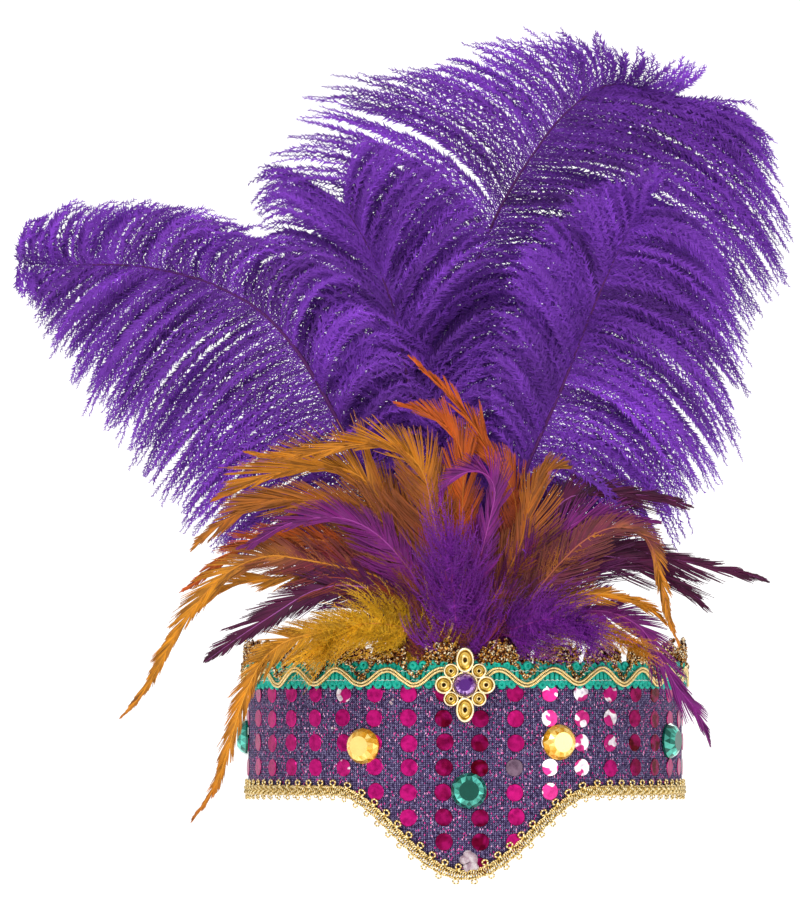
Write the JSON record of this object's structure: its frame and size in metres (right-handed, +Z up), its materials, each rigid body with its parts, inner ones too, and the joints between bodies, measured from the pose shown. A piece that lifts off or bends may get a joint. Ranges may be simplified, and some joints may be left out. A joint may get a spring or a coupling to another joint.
{
  "type": "carnival feather headdress",
  "caption": "Stiff ring crown with a front point, gold and teal trims, round stones, a brooch and a crest of plumes and cock feathers.",
  "frame": {"origin": "centre of the head opening, in the plane of the crown's straight lower edge", "axes": "+Z up along the crown's axis, front towards -Y, +X to the right as seen from the front"},
  "size_m": [0.3238, 0.2142, 0.3601],
  "materials": {
    "band_cloth": "dark slate purple ribbed sequin cloth",
    "teal_gimp": "teal rayon gimp braid",
    "gold_cord": "metallic gold thread",
    "gold_lace": "knotted metallic lace",
    "emerald": "faceted acrylic with foil back",
    "amber": "faceted acrylic with foil back",
    "amethyst": "faceted acrylic with foil back",
    "brooch_gold": "gold plated casting",
    "ostrich_purple": "dyed ostrich barbs",
    "gold_feather": "glossy dyed cock feather",
    "brown_feather": "glossy dyed cock feather",
    "red_feather": "glossy dyed cock feather",
    "burgundy_feather": "glossy dyed cock feather",
    "magenta_feather": "glossy dyed cock feather",
    "purple_down": "dyed marabou down",
    "yellow_down": "dyed marabou down"
  },
  "bodies": {
    "root": {"brooch_setting": "brooch_gold", "brooch_stone": "amethyst", "crown_band": "band_cloth", "gem_amber_left": "amber", "gem_amber_right": "amber", "gem_emerald_centre": "emerald", "gem_emerald_left": "emerald", "gem_emerald_right": "emerald", "hackle_amber_left": "gold_feather", "hackle_brown_left": "brown_feather", "hackle_burgundy_left": "burgundy_feather", "hackle_burgundy_long_right": "burgundy_feather", "hackle_burgundy_right": "burgundy_feather", "hackle_burgundy_upper_right": "burgundy_feather", "hackle_gold_fall_right": "gold_feather", "hackle_gold_inner_left": "gold_feather", "hackle_gold_long_left": "gold_feather", "hackle_gold_low_left": "gold_feather", "hackle_gold_right": "gold_feather", "hackle_gold_small_right": "brown_feather", "hackle_gold_upper_left": "gold_feather", "hackle_magenta_arch": "magenta_feather", "hackle_magenta_left": "magenta_feather", "hackle_magenta_low_right": "magenta_feather", "hackle_magenta_right": "magenta_feather", "hackle_orange_long": "red_feather", "hackle_purple_upright": "magenta_feather", "hackle_red_blade": "red_feather", "hackle_rust_left": "red_feather", "hem_braid": "gold_cord", "lace_fans": "gold_lace", "plume_left": "ostrich_purple", "plume_low_right": "ostrich_purple", "plume_middle": "ostrich_purple", "plume_right": "ostrich_purple", "top_gimp": "teal_gimp", "tuft_gold_right": "gold_feather", "tuft_purple_centre": "purple_down", "tuft_purple_right": "purple_down", "tuft_yellow_left": "yellow_down", "wave_cord": "gold_cord"}
  },
  "joints": []
}
